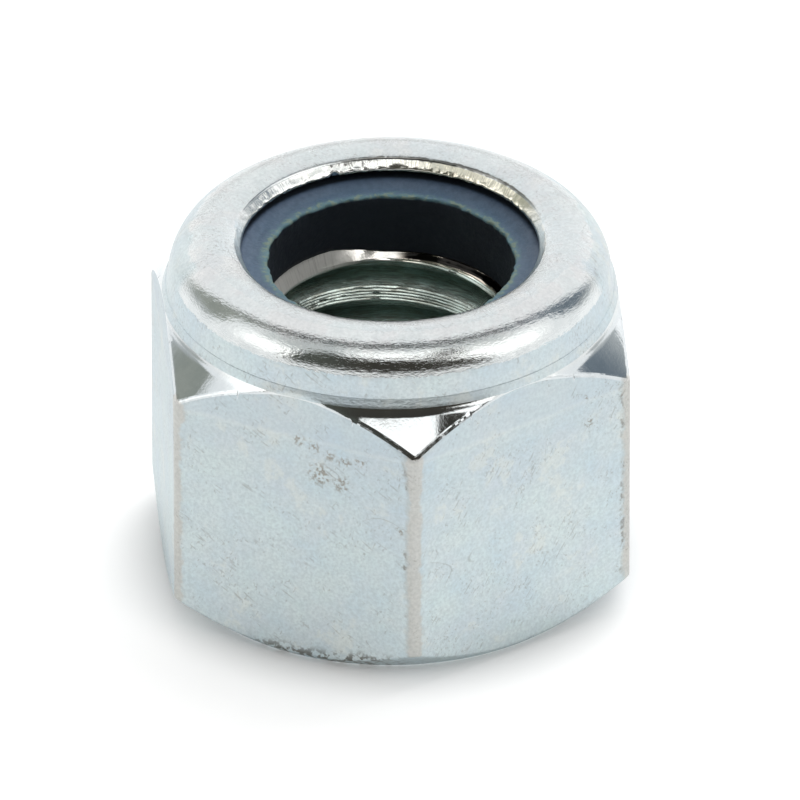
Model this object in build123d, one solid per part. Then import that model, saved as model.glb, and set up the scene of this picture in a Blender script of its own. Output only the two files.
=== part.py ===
from build123d import *
import math
import os

# A nylon insert lock nut, M6 coarse, of the high kind.  The steel body is one forging: a hexagon
# whose corners are chamfered at both ends, and a thin collar that is rolled over a captive nylon
# ring.  The bearing face lies on z = 0, the thread's axis is +Z, and two of the six flats face
# +X and -X.  Millimetres and degrees throughout.

# ---- Driving dimensions ---------------------------------------------------------------------

# Hexagon
across_flats = 9.9              # 10 mm nominal, at the middle of its tolerance
corner_radius = 0.22            # rounding of the six upright edges
bearing_inset = 0.19            # the washer circle on z = 0 lies this far inside the flats
base_chamfer_angle = 40.0       # lower corner chamfer, from the horizontal
shoulder_height = 6.55          # where the upper corner chamfer meets the foot of the collar
shoulder_angle = 50.0           # upper corner chamfer, from the horizontal

# Collar
collar_proud = 0.015            # the foot stands this far outside the flats and blends into them
collar_height = 1.45            # foot to crown
collar_wall = 0.60              # metal thickness where the wall is rolled over
collar_taper = 9.2              # the wall leans inward as it rises
foot_ring_height = 0.25         # faint ring that the forging die leaves round the foot
foot_ring_step = 0.03
wall_setback = 0.07             # from the foot's circle in to the line of the wall
inner_roll_radius = 0.35        # inside of the rolled edge

# Rolled lip
lip_reach = 1.737               # from the foot's circle in to the edge of the lip
lip_crease_width = 0.164        # the crown turns down into the lip this far outside the edge
lip_crease_drop = 0.115         # crown down to the crease
lip_edge_drop = 0.20            # crown down to the upright edge of the lip
lip_edge_height = 0.12

# Thread
thread_diameter = 6.0
thread_pitch = 1.0
thread_share = 0.80             # share of the full thread depth that the tapping hole leaves
thread_start_angle = 280.0      # where the middle of the groove crosses the bearing face
countersink_margin = 0.30       # the entry is wider than the thread by this diameter
countersink_angle = 120.0

# Nylon ring
pocket_depth = 0.71             # foot of the collar down to the floor that the ring stands on
insert_setback = 0.117          # the ring's bore stands back from the crests of the thread
insert_clearance = 0.03         # to the pocket's wall and the rolled edge
insert_chamfer_width = 0.20     # inner lower edge of the ring
insert_chamfer_height = 0.125

# ---- Derived values -------------------------------------------------------------------------

nut_height = shoulder_height + collar_height
flat_distance = across_flats / 2
corner_distance = flat_distance / math.cos(math.radians(30))
bearing_radius = flat_distance - bearing_inset
collar_radius = flat_distance + collar_proud
lip_radius = collar_radius - lip_reach

thread_radius = thread_diameter / 2
sharp_thread_height = thread_pitch * math.sqrt(3) / 2
full_thread_depth = sharp_thread_height * 5 / 8
thread_bore_radius = thread_radius - thread_share * full_thread_depth
countersink_radius = thread_radius + countersink_margin / 2

taper = math.radians(collar_taper)
roll_radius = inner_roll_radius + collar_wall
roll_center_height = nut_height - roll_radius


def wall_radius(height):
    """Outside radius of the tapered wall at a height."""
    return collar_radius - wall_setback - (height - shoulder_height) * math.tan(taper)


roll_center_radius = wall_radius(roll_center_height) - roll_radius / math.cos(taper)
roll_center = (roll_center_radius, roll_center_height)
pocket_radius = roll_center_radius + inner_roll_radius
pocket_roof = nut_height - collar_wall
pocket_floor = shoulder_height - pocket_depth


def turned(*outline):
    """Solid of revolution about the axis, from a closed half section in (radius, height)."""
    edges = [edge for line in outline for edge in line.edges()]
    return revolve(Plane.XZ * make_face(edges), Axis.Z)


# ---- Steel body -----------------------------------------------------------------------------


def blank():
    """The rolled collar, its pocket and both corner chamfers, turned round the axis."""
    outside = 2 * corner_distance - flat_distance
    chamfer_rise = (outside - bearing_radius) * math.tan(math.radians(base_chamfer_angle))
    shoulder_fall = (outside - collar_radius) * math.tan(math.radians(shoulder_angle))
    ring_top = shoulder_height + foot_ring_height
    crease = (lip_radius + lip_crease_width, nut_height - lip_crease_drop)
    lip_top = nut_height - lip_edge_drop

    outer_roll = CenterArc(roll_center, roll_radius, collar_taper, 90 - collar_taper)
    crown = TangentArc(outer_roll @ 1, crease, tangent=(-1, 0))
    inner_roll = CenterArc(roll_center, inner_roll_radius, 90, -90)
    outer_line = Polyline(
        (0, pocket_floor),
        (0, 0),
        (bearing_radius, 0),
        (outside, chamfer_rise),
        (outside, shoulder_height - shoulder_fall),
        (collar_radius, shoulder_height),
        (wall_radius(ring_top) + foot_ring_step, ring_top),
        (wall_radius(ring_top + foot_ring_step), ring_top + foot_ring_step),
        outer_roll @ 0,
    )
    lip_line = Polyline(
        crease,
        (lip_radius, lip_top),
        (lip_radius, lip_top - lip_edge_height),
        inner_roll @ 0,
    )
    pocket_line = Polyline(inner_roll @ 1, (pocket_radius, pocket_floor), (0, pocket_floor))
    return turned(outer_line, outer_roll, crown, lip_line, inner_roll, pocket_line)


def hexagon():
    """Six flats with rounded corners, as tall as the nut."""
    outline = RegularPolygon(flat_distance, 6, major_radius=False, rotation=30)
    return extrude(fillet(outline.vertices(), corner_radius), nut_height)


def entry():
    """Tapping hole with the countersink at the bearing face."""
    floor = (Align.CENTER, Align.CENTER, Align.MIN)
    cone_height = countersink_radius / math.tan(math.radians(countersink_angle / 2))
    tapping_hole = Cylinder(thread_bore_radius, nut_height, align=floor)
    return tapping_hole + Cone(countersink_radius, 0, cone_height, align=floor)


def thread_groove():
    """Right-hand 60 degree groove, one swept turn repeated from below the nut into the pocket."""
    root_half_width = thread_pitch / 16
    tip_half_width = thread_pitch * 15 / 32
    tip_radius = thread_radius - (tip_half_width - root_half_width) * math.sqrt(3)
    section = make_face(Polyline(
        (thread_radius, -root_half_width),
        (thread_radius, root_half_width),
        (tip_radius, tip_half_width),
        (tip_radius, -tip_half_width),
        close=True,
    ))
    helix = Helix(thread_pitch, thread_pitch, thread_radius)
    one_turn = Rot(0, 0, thread_start_angle) * sweep(Plane.XZ * section, helix, is_frenet=True)
    turns_up = math.ceil(pocket_floor / thread_pitch + 0.5)
    return [Pos(0, 0, turn * thread_pitch) * one_turn for turn in range(-1, turns_up)]


def nut_body():
    return (blank() & hexagon()) - entry() - thread_groove()


# ---- Nylon ring -----------------------------------------------------------------------------


def nylon_insert():
    """Stands on the pocket's floor and fills it up to the rolled edge, which keeps it in."""
    bore_radius = thread_bore_radius + insert_setback
    top = pocket_roof - insert_clearance
    shoulder = CenterArc(roll_center, inner_roll_radius - insert_clearance, 0, 90)
    bore_line = Polyline(
        shoulder @ 1,
        (bore_radius, top),
        (bore_radius, pocket_floor + insert_chamfer_height),
        (bore_radius + insert_chamfer_width, pocket_floor),
        (pocket_radius - insert_clearance, pocket_floor),
        shoulder @ 0,
    )
    return turned(shoulder, bore_line)


# ---- Files ----------------------------------------------------------------------------------

os.makedirs("parts", exist_ok=True)
for name, piece in (("nut_body", nut_body()), ("nylon_insert", nylon_insert())):
    export_step(piece, f"parts/{name}.step")
    print(name, "volume", round(piece.volume, 3), "mm3, solids", len(piece.solids()))
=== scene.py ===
# %% [markdown]
# # A nylon insert lock nut
#
# The real nut has two pieces.  The steel body is cold forged: a hexagon with a thin collar that is
# rolled over at the top, tapped with a coarse thread and plated with zinc.  The nylon ring is
# trapped under the rolled lip and grips the bolt.  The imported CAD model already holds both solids
# in their exact sizes, so this lesson dresses them: denser meshes that carry the marks of forging,
# rolling, tapping and handling, and materials that look like plating and moulded nylon.

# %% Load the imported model
import math

import bmesh
import bpy
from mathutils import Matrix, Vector, noise


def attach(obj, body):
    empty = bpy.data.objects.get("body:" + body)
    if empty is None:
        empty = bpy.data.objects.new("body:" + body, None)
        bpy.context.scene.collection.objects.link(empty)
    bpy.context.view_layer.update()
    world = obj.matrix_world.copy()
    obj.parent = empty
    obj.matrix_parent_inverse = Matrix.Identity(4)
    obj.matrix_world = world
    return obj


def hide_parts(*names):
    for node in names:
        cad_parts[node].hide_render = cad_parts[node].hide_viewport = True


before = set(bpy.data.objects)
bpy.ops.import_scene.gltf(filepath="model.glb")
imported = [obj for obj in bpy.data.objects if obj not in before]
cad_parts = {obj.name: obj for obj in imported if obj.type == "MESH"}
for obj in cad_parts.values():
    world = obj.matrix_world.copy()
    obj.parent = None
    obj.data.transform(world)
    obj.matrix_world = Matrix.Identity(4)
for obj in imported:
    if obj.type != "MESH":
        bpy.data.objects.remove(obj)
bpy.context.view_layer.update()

print("CAD nodes:", sorted(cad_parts))

# %% [markdown]
# ## The sizes
#
# Every length below is in millimetres and comes from the CAD source.  The bearing face lies on
# z = 0 and the thread's axis is +Z.  The meshes are made in millimetres too, because numbers such
# as 0.22 are easier to read than 0.00022, and each mesh is scaled to metres once, at its end.

# %% Sizes of the hexagon, the collar and the lip
MM = 0.001
FLAT = 9.9 / 2
CORNER_ROUND = 0.22
BEARING = FLAT - 0.19
BASE_ANGLE = math.radians(40)
SHOULDER_ANGLE = math.radians(50)
SHOULDER = 6.55
CORNER = FLAT / math.cos(math.radians(30))
OUTSIDE = 2 * CORNER - FLAT

HEIGHT = 8.0
COLLAR = FLAT + 0.015
TAPER = math.radians(9.2)
RING_TOP = SHOULDER + 0.25
RING_STEP = 0.018
ROLL_OUT, ROLL_IN = 0.95, 0.35
LIP = COLLAR - 1.737
CREASE = (LIP + 0.164, HEIGHT - 0.115)
LIP_TOP = HEIGHT - 0.20
LIP_UNDER = LIP_TOP - 0.12


def wall_radius(height):
    """Outside radius of the collar's tapered wall."""
    return COLLAR - 0.07 - (height - SHOULDER) * math.tan(TAPER)


ROLL_Z = HEIGHT - ROLL_OUT
ROLL_R = wall_radius(ROLL_Z) - ROLL_OUT / math.cos(TAPER)
print("the roll turns about radius", round(ROLL_R, 4), "at height", ROLL_Z)

# %% Sizes of the thread and the nylon ring
THREAD = 3.0
PITCH = 1.0
CREST = THREAD - 0.80 * PITCH * math.sqrt(3) / 2 * 5 / 8
COUNTERSINK = 3.15
GROOVE_START = 280 / 360 * PITCH

POCKET = ROLL_R + ROLL_IN
SEAT = SHOULDER - 0.71
BORE = CREST + 0.117
NYLON_TOP = HEIGHT - 0.60 - 0.03
print("crest radius", round(CREST, 4), "and nylon bore radius", round(BORE, 4))

# %% [markdown]
# ## Small helpers
#
# Steel that has been forged and tumbled is never exactly round or flat.  A smooth noise field moves
# vertices by a few hundredths of a millimetre.  It depends only on the place, so it gives the same
# nut each time.  The back of the nut, seen from the camera, has the roughest lip.


# %% Helpers for shapes
def swell(place, size, seed):
    """Smooth noise between about -1 and 1 that changes over a given size in millimetres."""
    return noise.noise(Vector(place) / size + Vector((seed, 1.7 * seed, -0.6 * seed)))


def facing(x, y):
    """Angle round the axis in degrees, from 0 to 360."""
    return math.degrees(math.atan2(y, x)) % 360


def hump(value, middle, width):
    """1 at the middle, falling smoothly to 0 at the width."""
    t = min(1.0, abs(value - middle) / width)
    return (1 - t * t) ** 2


BACK = 84.5


def at_back(x, y):
    """1 over the back of the nut, falling to 0 at its front."""
    return min(1.0, 2.5 * hump(facing(x, y), BACK, 95))


def arc(center, radius, start, end, steps):
    """Points of an arc in (radius, height), with both of its ends."""
    points = []
    for step in range(steps + 1):
        angle = math.radians(start + (end - start) * step / steps)
        points.append((center[0] + radius * math.cos(angle), center[1] + radius * math.sin(angle)))
    return points


def between(first, last, steps):
    """Points of a straight run in (radius, height), without its first end."""
    return [
        (
            first[0] + (last[0] - first[0]) * step / steps,
            first[1] + (last[1] - first[1]) * step / steps,
        )
        for step in range(1, steps + 1)
    ]


def toward(degrees):
    """Level unit vector that points a number of degrees round the axis."""
    angle = math.radians(degrees)
    return Vector((math.cos(angle), math.sin(angle), 0))


def only(kind, items):
    """The items of one kind, such as bmesh.types.BMEdge."""
    return [item for item in items if isinstance(item, kind)]


def everything(bm):
    """All vertices, edges and faces of a mesh."""
    return bm.verts[:] + bm.edges[:] + bm.faces[:]


def set_radius(vert, wanted):
    """Moves a vertex straight out or in to a distance from the axis."""
    r = math.hypot(vert.co.x, vert.co.y)
    vert.co.x *= wanted / r
    vert.co.y *= wanted / r


def spin_outline(bm, points, steps):
    """Draws a half section in the XZ plane and spins it once round the axis."""
    verts = [bm.verts.new((r, 0, z)) for r, z in points]
    edges = [bm.edges.new(pair) for pair in zip(verts, verts[1:])]
    bmesh.ops.spin(
        bm, geom=verts + edges, cent=(0, 0, 0), axis=(0, 0, 1), dvec=(0, 0, 0),
        angle=2 * math.pi, steps=steps, use_merge=True,
    )


def finish_piece(bm, name, cad_node, material):
    """Scales the mesh to metres, makes the object and tells the frame what it stands for."""
    bmesh.ops.scale(bm, vec=(MM, MM, MM), verts=bm.verts[:])
    mesh = bpy.data.meshes.new(name)
    bm.to_mesh(mesh)
    bm.free()
    mesh.materials.append(material)
    piece = bpy.data.objects.new(name, mesh)
    bpy.context.scene.collection.objects.link(piece)
    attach(piece, "root")
    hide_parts(cad_node)
    triangles = sum(len(face.vertices) - 2 for face in mesh.polygons)
    print(name, "has", len(mesh.vertices), "vertices and", triangles, "triangles")
    return piece


# %% [markdown]
# ## The outside of the body
#
# The collar and both chamfers are surfaces of revolution, so a half section is drawn and spun.  The
# roll gets many short steps, because polished curves show every flat facet in their reflections.
# Each run of the section also says how bright the plating is there: the forging die and the
# rolling tool leave the shoulder and the lip much glossier than the tumbled flats.

# %% The half section of the body, as runs of points with their polish
FLAT_POLISH, BASE_POLISH, SHOULDER_POLISH = 0.0, 0.35, 1.0
WALL_POLISH, LIP_POLISH, RIM_POLISH, POCKET_POLISH = 0.35, 0.82, 0.9, 0.3


def section_runs():
    """Runs of (points, polish): from the countersink out, up, over the lip and to the seat."""
    fillet_start = (COLLAR + 0.095, SHOULDER - 0.105)
    shoulder_drop = (OUTSIDE - fillet_start[0]) * math.tan(SHOULDER_ANGLE - math.radians(1.6))
    cone_low = (OUTSIDE, fillet_start[1] - shoulder_drop)
    ring_top = (wall_radius(RING_TOP) + RING_STEP, RING_TOP)
    wall_foot = (wall_radius(RING_TOP + 0.012), RING_TOP + 0.012)
    roll = arc((ROLL_R, ROLL_Z), ROLL_OUT, 9.2, 90, 26)
    crown_drop = HEIGHT - CREASE[1]
    crown_radius = ((ROLL_R - CREASE[0]) ** 2 + crown_drop**2) / (2 * crown_drop)
    crown_turn = math.degrees(math.asin((ROLL_R - CREASE[0]) / crown_radius))
    crown = arc((ROLL_R, HEIGHT - crown_radius), crown_radius, 90, 90 + crown_turn, 10)
    inner_roll = arc((ROLL_R, ROLL_Z), ROLL_IN, 90, 0, 6)
    lip_starts = (CREASE[0] - 0.014, CREASE[1] - 0.010)
    return [
        ([(COUNTERSINK + 0.05, 0)], BASE_POLISH),
        (between((COUNTERSINK + 0.05, 0), (BEARING, 0), 3), BASE_POLISH),
        ([(OUTSIDE, (OUTSIDE - BEARING) * math.tan(BASE_ANGLE))], BASE_POLISH),
        ([cone_low, fillet_start], SHOULDER_POLISH),
        (
            [
                (COLLAR + 0.062, SHOULDER - 0.064),
                (COLLAR + 0.034, SHOULDER - 0.018),
                (COLLAR + 0.010, SHOULDER + 0.022),
                (COLLAR - 0.023, SHOULDER + 0.065),
            ],
            SHOULDER_POLISH,
        ),
        (between((COLLAR - 0.023, SHOULDER + 0.065), ring_top, 3), WALL_POLISH),
        ([wall_foot], WALL_POLISH),
        (between(wall_foot, roll[0], 4), WALL_POLISH),
        (roll[1:], WALL_POLISH),
        (crown[1:-1], WALL_POLISH),
        (
            [
                (CREASE[0] + 0.018, CREASE[1] + 0.004),
                (CREASE[0] + 0.004, CREASE[1] - 0.022),
                lip_starts,
            ],
            LIP_POLISH,
        ),
        (between(lip_starts, (LIP + 0.022, LIP_TOP - 0.055), 6), LIP_POLISH),
        ([(LIP + 0.006, LIP_TOP - 0.078)], LIP_POLISH),
        (between((LIP, LIP_TOP - 0.092), (LIP, LIP_UNDER), 2), LIP_POLISH),
        (between((LIP, LIP_UNDER), inner_roll[0], 8), POCKET_POLISH),
        (inner_roll[1:], POCKET_POLISH),
        ([(POCKET, SEAT), (POCKET - 0.4, SEAT), (3.30, SEAT)], POCKET_POLISH),
    ]


ROUND_STEPS = 480
body = bmesh.new()
polish = body.faces.layers.float.new("polish")
runs = section_runs()
section = [point for points, _ in runs for point in points]
spin_outline(body, section, ROUND_STEPS)
print("section of", len(section), "points, spun into", len(body.faces), "faces")

# %% [markdown]
# Each face takes the polish of its run.  The middle of a face lies on its run, so the nearest one
# in (radius, height) gives it.  The lip was only burnished at the back, so its front stays duller.


# %% Mark each face with the polish of its run
def mark_polish(bm):
    """Gives each face the polish of the piece of the section that lies nearest."""
    levels = [level for points, level in runs for _ in points][1:]
    middles = [
        ((a[0] + b[0]) / 2, (a[1] + b[1]) / 2, level)
        for a, b, level in zip(section, section[1:], levels)
    ]
    seen = {}
    for face in bm.faces:
        spot = face.calc_center_median()
        r, z = math.hypot(spot.x, spot.y), spot.z
        key = (round(r, 3), round(z, 3))
        if key not in seen:
            seen[key] = min(middles, key=lambda m: (m[0] - r) ** 2 + (m[1] - z) ** 2)[2]
        level = seen[key]
        if level == LIP_POLISH:
            level = WALL_POLISH + (LIP_POLISH - WALL_POLISH) * at_back(spot.x, spot.y)
        face[polish] = level


mark_polish(body)

# %% [markdown]
# ## The hexagon
#
# A maker would press the hexagon first and turn the corners afterwards.  In a mesh it is quicker
# the other way round: six planes slice the round blank, and each slice is filled with one face.
# The chamfers then meet the flats in the curved edges that every nut has.  Five more planes per
# corner round the upright edges.


# %% Slice the flats and round the corners
SNAP = 0.0005


def slice_off(bm, degrees, distance):
    """Cuts away everything beyond an upright plane and fills the cut with a face."""
    outward = toward(degrees)
    cut = bmesh.ops.bisect_plane(
        bm, geom=everything(bm), dist=SNAP,
        plane_co=outward * distance, plane_no=outward, clear_outer=True,
    )
    rim = only(bmesh.types.BMEdge, cut["geom_cut"])
    for face in bmesh.ops.edgeloop_fill(bm, edges=rim)["faces"]:
        face[polish] = FLAT_POLISH


for side in range(6):
    slice_off(body, 60 * side, FLAT)
round_center = CORNER - CORNER_ROUND / math.cos(math.radians(30))
for corner in range(6):
    for tilt in (-20, -10, 0, 10, 20):
        reach = round_center * math.cos(math.radians(tilt)) + CORNER_ROUND
        slice_off(body, 30 + 60 * corner + tilt, reach)
print("the sliced body has", len(body.faces), "faces")

# %% [markdown]
# The rims between the flats and the two chamfers are not knife edges.  The lower rims get a narrow
# bevel.  The die rounded the upper rims more, and a little roughness breaks up the line of light
# along them.  Where that bevel meets the mirror-like shoulder, the edge is marked to stay crisp.


# %% Soften the rims of the flats
def is_flat(face):
    """True for the faces that the slices made."""
    return abs(face.normal.z) < 0.02 and face[polish] == FLAT_POLISH


body.normal_update()
bmesh.ops.recalc_face_normals(body, faces=body.faces[:])
bmesh.ops.remove_doubles(body, verts=body.verts[:], dist=0.004)
crisp = body.edges.layers.int.new("crisp")


def soften_rims(bm, low, high, offset, segments, ragged):
    """Bevels the rims of the flats between two heights, and roughens the new faces a little."""
    rims = [
        edge for edge in bm.edges
        if len(edge.link_faces) == 2
        and is_flat(edge.link_faces[0]) != is_flat(edge.link_faces[1])
        and edge.calc_face_angle(0) > math.radians(12)
        and all(low < vert.co.z < high for vert in edge.verts)
    ]
    softened = bmesh.ops.bevel(
        bm, geom=rims, offset=offset, offset_type="OFFSET", segments=segments, profile=0.5,
        affect="EDGES", material=-1, clamp_overlap=False,
    )
    bm.normal_update()
    for vert in softened["verts"]:
        if not any(is_flat(face) for face in vert.link_faces):
            vert.co += vert.normal * ragged * (swell(vert.co, 0.07, 71.0) - 0.6)
    for face in softened["faces"]:
        face[polish] = RIM_POLISH if face.normal.z > 0.36 else 0.1
        for edge in face.edges:
            if any(side[polish] == SHOULDER_POLISH for side in edge.link_faces):
                edge[crisp] = 1
    print("bevelled", len(rims), "rim edges by", offset, "mm")


HALF_WAY = 3.0
UPPER_RIMS_END = 6.37
soften_rims(body, -1.0, HALF_WAY, 0.05, 3, 0.0)
soften_rims(body, HALF_WAY, UPPER_RIMS_END, 0.115, 6, 0.004)

# %% [markdown]
# A flat from the forging die is not one perfect plane.  It is cut into a grid here, so that it can
# sag by a few thousandths and lean in a little above the corner tips, where the die opened.


# %% Grid the flats
FLAT_REACH, FLAT_RISE = 2.6, 6.2


def grid_flats(bm, spacing):
    """Cuts the flats, and only them, along upright and level planes."""
    up = Vector((0, 0, 1))
    for side in range(6):
        outward = toward(60 * side)
        along = Vector((-outward.y, outward.x, 0))
        count = int(FLAT_REACH / spacing)
        cuts = [(along * (spacing * k), along) for k in range(-count, count + 1)]
        cuts += [(up * (0.25 + spacing * k), up) for k in range(int(FLAT_RISE / spacing))]
        for place, direction in cuts:
            faces = [
                face for face in bm.faces
                if face[polish] == FLAT_POLISH and face.normal.dot(outward) > 0.9999
            ]
            edges = list({edge for face in faces for edge in face.edges})
            verts = list({vert for face in faces for vert in face.verts})
            bmesh.ops.bisect_plane(
                bm, geom=verts + edges + faces, dist=0.002, plane_co=place, plane_no=direction,
            )


grid_flats(body, 0.3)
print("after the grid the body has", len(body.faces), "faces")

# %% Let the flats sag and lean
CORNER_TIP = SHOULDER - (CORNER - COLLAR) * math.tan(SHOULDER_ANGLE)


def sag_flats(bm):
    """Moves the points of the flats inward, never outward."""
    for vert in bm.verts:
        for side in range(6):
            outward = toward(60 * side)
            reach = vert.co.dot(outward)
            if reach > FLAT - 0.02 and vert.co.z < RING_TOP:
                along = abs(-outward.y * vert.co.x + outward.x * vert.co.y)
                inner = min(1.0, max(0.0, (FLAT_REACH - along) / 0.6))
                lean = max(0.0, vert.co.z - CORNER_TIP) * 0.028
                dent = inner * 0.008 * (0.5 + 0.5 * swell(vert.co, 1.1, 3.0))
                limit = FLAT - lean - dent
                if reach > limit:
                    vert.co -= outward * (reach - limit)


sag_flats(body)

# %% [markdown]
# ## The rolled collar
#
# The rolling tool leaves the crown slightly wavy, nicks the edge of the lip and folds a fine crease
# where the metal turns down.  All of this is a push along the radius and the height, strongest at
# the edge of the lip, where the steel is thinnest and tears.


# %% Roughen the roll and the lip
UPPER_ROLL = 7.3


def roughen_collar(bm):
    """Waves on the roll, and nicks and tears along the lip."""
    for vert in bm.verts:
        x, y, z = vert.co
        r = math.hypot(x, y)
        if z < SHOULDER + 0.3 or r > wall_radius(z) + 0.02 or r < LIP - 0.01:
            continue
        outward = Vector((x / r, y / r, 0))
        back = at_back(x, y)
        push = 0.006 * (swell(vert.co, 0.9, 5.0) - 0.6)
        drop = 0.004 * (0.6 + swell(vert.co, 0.7, 8.0))
        if z > UPPER_ROLL:
            near = min(1.0, max(0.0, (CREASE[0] + 0.06 - r) / 0.10))
            tooth = swell((x, y, 0), 0.22, 11.0) + 0.6 * swell((x, y, 0), 0.09, 14.0)
            rough = 0.25 + 0.75 * back
            push += near * rough * (0.014 * tooth + 0.006)
            drop += near * rough * 0.008 * (0.6 + swell(vert.co, 0.16, 17.0))
            jag = swell((x, y, 0), 0.05, 61.0) + swell((x, y, 0), 0.11, 63.0)
            edge = min(1.0, max(0.0, (LIP + 0.05 - r) / 0.03)) * back
            drop += edge * 0.020 * jag
            push += edge * (0.012 * jag + 0.07 * hump(facing(x, y), 106.6, 2.6))
            drop -= edge * 0.05 * hump(facing(x, y), 106.0, 2.0)
            drop -= 0.022 * (1 - back) * hump(r, CREASE[0] + 0.004, 0.012) * (z > LIP_TOP + 0.03)
        vert.co += outward * push
        vert.co.z = min(HEIGHT, vert.co.z - drop)


roughen_collar(body)

# %% [markdown]
# ## The thread
#
# A tapped thread is one profile that climbs a pitch for each turn.  The spin operator can climb as
# it turns, so one turn is spun from the profile of a single pitch, copied up the bore, and the
# copies are merged.  The crest is the wall of the drilled hole, and the drill left fine ridges
# round it, which show as bright lines inside the nut.

# %% Spin one turn of the thread and copy it up the bore
TURN_STEPS = 240


def thread_profile():
    """One pitch of the bore wall in (radius, height), from one groove's middle to the next."""
    root = PITCH / 16
    crest_low = root + (THREAD - CREST) * math.tan(math.radians(30))
    shoulder = 0.2 * math.tan(math.radians(30))
    points = [(THREAD, -root), (THREAD, root), (THREAD - 0.2, root + shoulder)]
    ridges = 5
    span = PITCH - 2 * crest_low
    points.append((CREST + 0.012, crest_low - 0.008))
    for ridge in range(ridges):
        low = crest_low + span * ridge / ridges
        points.append((CREST + 0.003, low + span / ridges * 0.05))
        points.append((CREST, low + span / ridges * 0.35))
        points.append((CREST + 0.030, low + span / ridges * 0.78))
    points.append((CREST + 0.012, PITCH - crest_low + 0.008))
    points.append((THREAD - 0.2, PITCH - root - shoulder))
    points.append((THREAD, PITCH - root))
    return points


def add_turn(bm):
    """Spins one pitch of the bore's wall once round the axis while it climbs a pitch."""
    verts = [bm.verts.new((r, 0, z - GROOVE_START)) for r, z in thread_profile()]
    edges = [bm.edges.new(pair) for pair in zip(verts, verts[1:])]
    bmesh.ops.spin(
        bm, geom=verts + edges, cent=(0, 0, 0), axis=(0, 0, 1), dvec=(0, 0, PITCH / TURN_STEPS),
        angle=2 * math.pi, steps=TURN_STEPS, use_merge=False,
    )


thread = bmesh.new()
thread_polish = thread.faces.layers.float.new("polish")
add_turn(thread)
first_turn = everything(thread)
for turn in (-1, 1, 2, 3, 4, 5, 6):
    copied = only(bmesh.types.BMVert, bmesh.ops.duplicate(thread, geom=first_turn)["geom"])
    bmesh.ops.translate(thread, vec=(0, 0, turn * PITCH), verts=copied)
bmesh.ops.remove_doubles(thread, verts=thread.verts[:], dist=0.0008)
print("the thread has", len(thread.faces), "faces")


# %% Trim the thread at both ends and open the countersink
def rim_edges(bm, height):
    """Open edges that lie at a height."""
    return [
        edge for edge in bm.edges
        if edge.is_boundary and all(abs(vert.co.z - height) < 0.002 for vert in edge.verts)
    ]


for height, discard in ((0.0, -1), (SEAT, 1)):
    bmesh.ops.bisect_plane(
        thread, geom=everything(thread), dist=SNAP,
        plane_co=(0, 0, height), plane_no=(0, 0, discard), clear_outer=True,
    )
for vert in thread.verts:
    r = math.hypot(vert.co.x, vert.co.y)
    cone = COUNTERSINK - vert.co.z / math.tan(math.radians(30))
    wanted = max(r, cone)
    grain = 0.006 * swell(vert.co, 0.12, 21.0)
    if r < CREST + 0.05:
        wanted += 0.018 * max(0.0, swell((vert.co.x, vert.co.y, 5 * vert.co.z), 0.30, 24.0))
    if cone < r - 0.01 and vert.co.z < SEAT - 0.01:
        wanted += max(0.0, 0.004 + grain)
    set_radius(vert, wanted)
for face in thread.faces:
    face[thread_polish] = 0.55
for height in (0.0, SEAT):
    print("the rim at height", height, "has", len(rim_edges(thread, height)), "edges")

# %% [markdown]
# Where the tap ran out at the seat, it threw up a burr.  The rim of the thread is extruded outward
# in a few rings that rise into a low bead and fall back to the seat, and noise tears the bead.


# %% Raise the burr at the seat
def extrude_ring(bm, edges):
    """Extrudes open edges and returns the new rim's edges and vertices."""
    made = bmesh.ops.extrude_edge_only(bm, edges=edges)["geom"]
    rim = [edge for edge in only(bmesh.types.BMEdge, made) if edge.is_boundary]
    return rim, only(bmesh.types.BMVert, made)


PEAK, FOOT = 0.17, 0.30
BURR_RIGHT = [
    (0.0, -0.040), (0.035, -0.015), (0.06, 0.035), (0.10, 0.100), (PEAK, 0.115), (0.22, 0.09),
    (FOOT, 0.0),
]
BURR_LEFT = [(0.0, -0.040), (PEAK, 0.108), (0.22, 0.09), (FOOT, 0.0)]
BEAD_LIMIT, BEAD_END = 3.22, 3.26


def along_line(points, distance):
    """Height of a broken line at a distance."""
    for (r0, z0), (r1, z1) in zip(points, points[1:]):
        if distance <= r1:
            return z0 + (z1 - z0) * (distance - r0) / (r1 - r0)
    return points[-1][1]


def fold(angle):
    """How far the burr is folded inward over the groove, round the axis."""
    return min(1.0, 2.0 * hump(angle, 145, 60))


def burr_height(distance, angle):
    """Height of the bead above the seat: a plain slope on one side, a step on the other."""
    stepped = hump(angle, 40, 46) if angle < 200 else 1.0
    share = min(1.0, 3.0 * stepped)
    folded = fold(angle)
    if distance <= PEAK:
        extra = folded * (-0.07 + 0.24 * distance / PEAK)
    else:
        extra = folded * 0.17 * (FOOT - distance) / 0.13
    lifted = along_line(BURR_LEFT, distance) + extra
    return along_line(BURR_RIGHT, distance) * share + lifted * (1 - share)


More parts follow.
